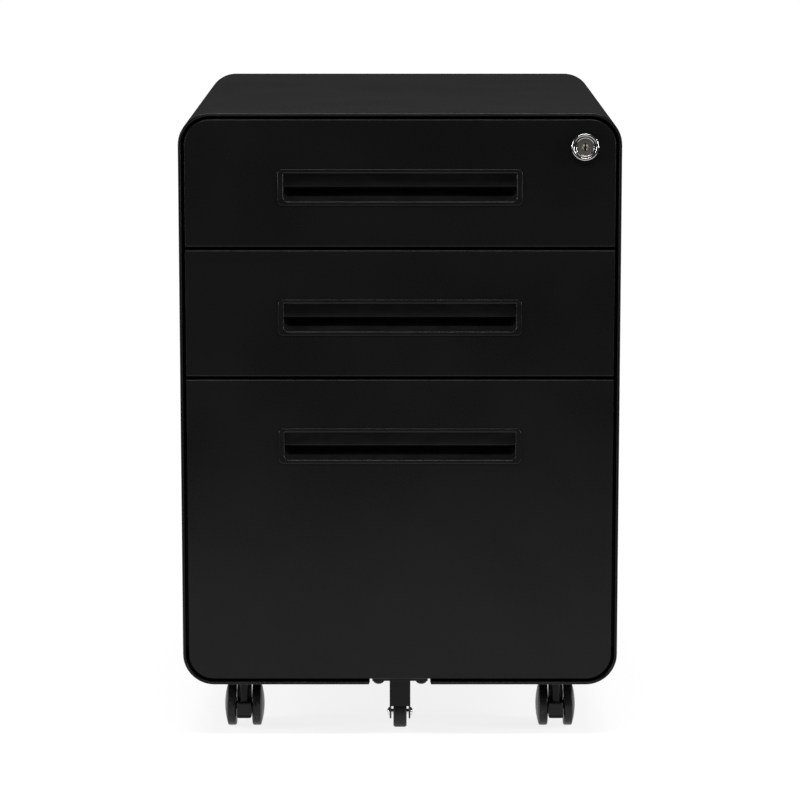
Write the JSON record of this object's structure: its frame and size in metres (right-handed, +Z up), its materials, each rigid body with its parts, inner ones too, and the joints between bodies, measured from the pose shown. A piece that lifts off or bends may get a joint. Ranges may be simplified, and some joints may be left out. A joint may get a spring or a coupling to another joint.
{
  "type": "filing cabinet",
  "caption": "Narrow wheeled steel pedestal: shallow drawers over a deep file drawer, recessed pulls, a round lock, ball-bearing slides and a fifth wheel under the file drawer.",
  "frame": {"origin": "on the floor, below the middle of the whole object's box", "axes": "+Z up, +X to the right of someone facing the drawers, the drawers open towards -Y"},
  "size_m": [0.39, 0.5024, 0.564],
  "materials": {
    "black_powder_coat": "satin black powder coat",
    "black_pull_plastic": "fine-grained black moulding",
    "zinc_steel": "bright zinc plating",
    "screw_steel": "zinc-plated screws",
    "lock_chrome": "polished chrome",
    "lock_plug_nickel": "satin nickel",
    "bright_rivet": "bright steel",
    "black_bolt": "black oxide",
    "caster_plastic": "black nylon",
    "wheel_plastic": "black nylon wheels",
    "fifth_wheel_rubber": "dark rubbery plastic"
  },
  "bodies": {
    "casing": {"back_panel": "black_powder_coat", "back_panel_screws": "screw_steel", "caster_nuts": "zinc_steel", "caster_rail_left": "black_powder_coat", "caster_rail_right": "black_powder_coat", "caster_stems": "zinc_steel", "lock_bar_guides": "zinc_steel", "outer_casing": "black_powder_coat", "slide_screws": "screw_steel", "slides_outer_bottom": "zinc_steel", "slides_outer_middle": "zinc_steel", "slides_outer_top": "zinc_steel", "uprights_front": "black_powder_coat", "uprights_rear": "black_powder_coat"},
    "lock_plug": {"lock_plug": "lock_plug_nickel", "lock_tail": "zinc_steel"},
    "lock_bar": {"lock_bar": "zinc_steel"},
    "fifth_wheel": {"fifth_wheel": "fifth_wheel_rubber"},
    "drawer_top": {"drawer_front_top": "black_powder_coat", "drawer_box_top": "black_powder_coat", "pull_cup_top": "black_pull_plastic", "drawer_screws_top": "screw_steel", "slides_inner_top": "zinc_steel", "lock_barrel": "lock_chrome", "lock_nut": "zinc_steel"},
    "slides_middle_top": {"slides_middle_top": "zinc_steel"},
    "drawer_middle": {"drawer_front_middle": "black_powder_coat", "drawer_box_middle": "black_powder_coat", "pull_cup_middle": "black_pull_plastic", "drawer_screws_middle": "screw_steel", "slides_inner_middle": "zinc_steel"},
    "slides_middle_middle": {"slides_middle_middle": "zinc_steel"},
    "drawer_bottom": {"drawer_front_bottom": "black_powder_coat", "drawer_box_bottom": "black_powder_coat", "pull_cup_bottom": "black_pull_plastic", "drawer_screws_bottom": "screw_steel", "slides_inner_bottom": "zinc_steel", "file_rails": "zinc_steel", "fifth_wheel_bracket": "black_powder_coat", "fifth_wheel_axle": "bright_rivet", "fifth_wheel_bolts": "black_bolt"},
    "slides_middle_bottom": {"slides_middle_bottom": "zinc_steel"},
    "caster_front_left": {"caster_body_front_left": "caster_plastic", "caster_axle_front_left": "zinc_steel"},
    "wheel_front_left_a": {"caster_wheel_front_left_a": "wheel_plastic"},
    "wheel_front_left_b": {"caster_wheel_front_left_b": "wheel_plastic"},
    "caster_front_right": {"caster_body_front_right": "caster_plastic", "caster_axle_front_right": "zinc_steel"},
    "wheel_front_right_a": {"caster_wheel_front_right_a": "wheel_plastic"},
    "wheel_front_right_b": {"caster_wheel_front_right_b": "wheel_plastic"},
    "caster_rear_left": {"caster_body_rear_left": "caster_plastic", "caster_axle_rear_left": "zinc_steel"},
    "wheel_rear_left_a": {"caster_wheel_rear_left_a": "wheel_plastic"},
    "wheel_rear_left_b": {"caster_wheel_rear_left_b": "wheel_plastic"},
    "caster_rear_right": {"caster_body_rear_right": "caster_plastic", "caster_axle_rear_right": "zinc_steel"},
    "wheel_rear_right_a": {"caster_wheel_rear_right_a": "wheel_plastic"},
    "wheel_rear_right_b": {"caster_wheel_rear_right_b": "wheel_plastic"}
  },
  "joints": [
    {"name": "drawer_top_slide", "type": "slide", "parent": "casing", "child": "drawer_top", "axis": [0, -1, 0], "range_m": [0, 0.4]},
    {"name": "slides_top_follow", "type": "slide", "parent": "casing", "child": "slides_middle_top", "axis": [0, -1, 0], "range_m": [0, 0.2]},
    {"name": "drawer_middle_slide", "type": "slide", "parent": "casing", "child": "drawer_middle", "axis": [0, -1, 0], "range_m": [0, 0.4]},
    {"name": "slides_middle_follow", "type": "slide", "parent": "casing", "child": "slides_middle_middle", "axis": [0, -1, 0], "range_m": [0, 0.2]},
    {"name": "drawer_bottom_slide", "type": "slide", "parent": "casing", "child": "drawer_bottom", "axis": [0, -1, 0], "range_m": [0, 0.4]},
    {"name": "slides_bottom_follow", "type": "slide", "parent": "casing", "child": "slides_middle_bottom", "axis": [0, -1, 0], "range_m": [0, 0.2]},
    {"name": "lock_turn", "type": "hinge", "parent": "drawer_top", "child": "lock_plug", "pos_m": [0.1624, -0.24875, 0.5346], "axis": [0, -1, 0], "range_deg": [0, 90]},
    {"name": "lock_bar_lift", "type": "slide", "parent": "casing", "child": "lock_bar", "axis": [0, 0, 1], "range_m": [0, 0.008]},
    {"name": "caster_front_left_swivel", "type": "hinge", "parent": "casing", "child": "caster_front_left", "pos_m": [-0.142, -0.21275, 0.03], "axis": [0, 0, 1], "continuous": true},
    {"name": "wheel_front_left_a_spin", "type": "hinge", "parent": "caster_front_left", "child": "wheel_front_left_a", "pos_m": [-0.142, -0.19775, 0.02], "axis": [1, 0, 0], "continuous": true},
    {"name": "wheel_front_left_b_spin", "type": "hinge", "parent": "caster_front_left", "child": "wheel_front_left_b", "pos_m": [-0.142, -0.19775, 0.02], "axis": [1, 0, 0], "continuous": true},
    {"name": "caster_front_right_swivel", "type": "hinge", "parent": "casing", "child": "caster_front_right", "pos_m": [0.142, -0.21275, 0.03], "axis": [0, 0, 1], "continuous": true},
    {"name": "wheel_front_right_a_spin", "type": "hinge", "parent": "caster_front_right", "child": "wheel_front_right_a", "pos_m": [0.142, -0.19775, 0.02], "axis": [1, 0, 0], "continuous": true},
    {"name": "wheel_front_right_b_spin", "type": "hinge", "parent": "caster_front_right", "child": "wheel_front_right_b", "pos_m": [0.142, -0.19775, 0.02], "axis": [1, 0, 0], "continuous": true},
    {"name": "caster_rear_left_swivel", "type": "hinge", "parent": "casing", "child": "caster_rear_left", "pos_m": [-0.142, 0.20125, 0.03], "axis": [0, 0, 1], "continuous": true},
    {"name": "wheel_rear_left_a_spin", "type": "hinge", "parent": "caster_rear_left", "child": "wheel_rear_left_a", "pos_m": [-0.142, 0.21625, 0.02], "axis": [1, 0, 0], "continuous": true},
    {"name": "wheel_rear_left_b_spin", "type": "hinge", "parent": "caster_rear_left", "child": "wheel_rear_left_b", "pos_m": [-0.142, 0.21625, 0.02], "axis": [1, 0, 0], "continuous": true},
    {"name": "caster_rear_right_swivel", "type": "hinge", "parent": "casing", "child": "caster_rear_right", "pos_m": [0.142, 0.20125, 0.03], "axis": [0, 0, 1], "continuous": true},
    {"name": "wheel_rear_right_a_spin", "type": "hinge", "parent": "caster_rear_right", "child": "wheel_rear_right_a", "pos_m": [0.142, 0.21625, 0.02], "axis": [1, 0, 0], "continuous": true},
    {"name": "wheel_rear_right_b_spin", "type": "hinge", "parent": "caster_rear_right", "child": "wheel_rear_right_b", "pos_m": [0.142, 0.21625, 0.02], "axis": [1, 0, 0], "continuous": true},
    {"name": "fifth_wheel_spin", "type": "hinge", "parent": "drawer_bottom", "child": "fifth_wheel", "pos_m": [0, -0.21875, 0.0176], "axis": [1, 0, 0], "continuous": true}
  ],
  "couplings": [
    {"joint": "slides_top_follow", "follows": "drawer_top_slide", "ratio": 0.5},
    {"joint": "slides_middle_follow", "follows": "drawer_middle_slide", "ratio": 0.5},
    {"joint": "slides_bottom_follow", "follows": "drawer_bottom_slide", "ratio": 0.5},
    {"joint": "lock_turn", "follows": "lock_bar_lift", "rad_per_m": 196.3}
  ]
}
